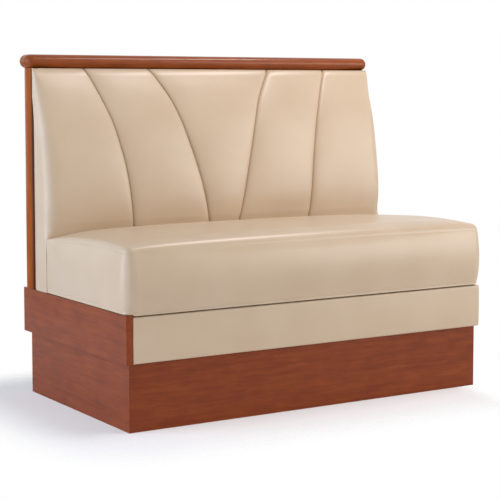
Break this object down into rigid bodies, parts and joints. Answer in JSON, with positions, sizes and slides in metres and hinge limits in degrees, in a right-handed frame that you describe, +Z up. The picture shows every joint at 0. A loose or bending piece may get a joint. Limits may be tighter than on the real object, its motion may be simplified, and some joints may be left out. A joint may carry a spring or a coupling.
{
  "type": "restaurant booth bench",
  "caption": "Single booth bench: channelled fan back under a bullnosed wood rail, crowned pull-out seat, padded front rail and wood plinth with a toe recess.",
  "frame": {"origin": "centre of the floor rectangle that the bench fits in, on the floor", "axes": "+X along the bench to the sitter's left, -Y to the front, +Z up"},
  "size_m": [1.118, 0.613, 0.9144],
  "materials": {
    "cherry_wood": "cherry stained veneer and solid wood under satin lacquer",
    "plain_ply": "sanded birch plywood",
    "vinyl": "beige upholstery vinyl, satin",
    "foam": "cut polyurethane foam",
    "felt": "pressed felt",
    "steel": "zinc plated steel"
  },
  "bodies": {
    "carcase": {"plinth_front": "cherry_wood", "plinth_rear": "cherry_wood", "plinth_left": "cherry_wood", "plinth_right": "cherry_wood", "plinth_cross_left": "plain_ply", "plinth_cross_right": "plain_ply", "plinth_corner_blocks": "plain_ply", "floor_brackets": "steel", "floor_bracket_screws": "steel", "box_end_left": "plain_ply", "box_end_right": "plain_ply", "end_panel_left": "cherry_wood", "end_panel_right": "cherry_wood", "box_cross_left": "plain_ply", "box_cross_right": "plain_ply", "front_rail": "plain_ply", "front_rail_padding": "foam", "front_rail_cover": "vinyl", "box_rear_rail": "plain_ply", "box_corner_blocks": "plain_ply", "carcase_screws": "steel", "panel_screws": "steel", "back_end_left": "plain_ply", "back_end_right": "plain_ply", "back_rib_1": "plain_ply", "back_rib_2": "plain_ply", "back_rib_3": "plain_ply", "back_rib_4": "plain_ply", "back_bolts": "steel", "back_bolt_nuts": "steel", "coach_screws": "steel", "back_batten": "plain_ply", "back_board": "plain_ply", "back_top_plate": "plain_ply", "outer_back_panel": "cherry_wood", "end_post_left": "cherry_wood", "end_post_right": "cherry_wood", "top_rail": "cherry_wood", "top_rail_screws": "steel", "back_foam_1": "foam", "back_foam_2": "foam", "back_foam_3": "foam", "back_foam_4": "foam", "back_foam_5": "foam", "back_cover": "vinyl"},
    "seat": {"seat_frame_front": "plain_ply", "seat_frame_rear": "plain_ply", "seat_frame_left": "plain_ply", "seat_frame_right": "plain_ply", "seat_brace_left": "plain_ply", "seat_brace_right": "plain_ply", "seat_springs": "steel", "seat_spring_clips": "steel", "seat_spring_pad": "felt", "seat_foam": "foam", "seat_cover": "vinyl", "seat_tongues": "steel", "seat_tongue_screws": "steel"}
  },
  "joints": [
    {"name": "seat_pull_out", "type": "slide", "parent": "carcase", "child": "seat", "axis": [0, -1, 0], "range_m": [0, 0.16]}
  ]
}
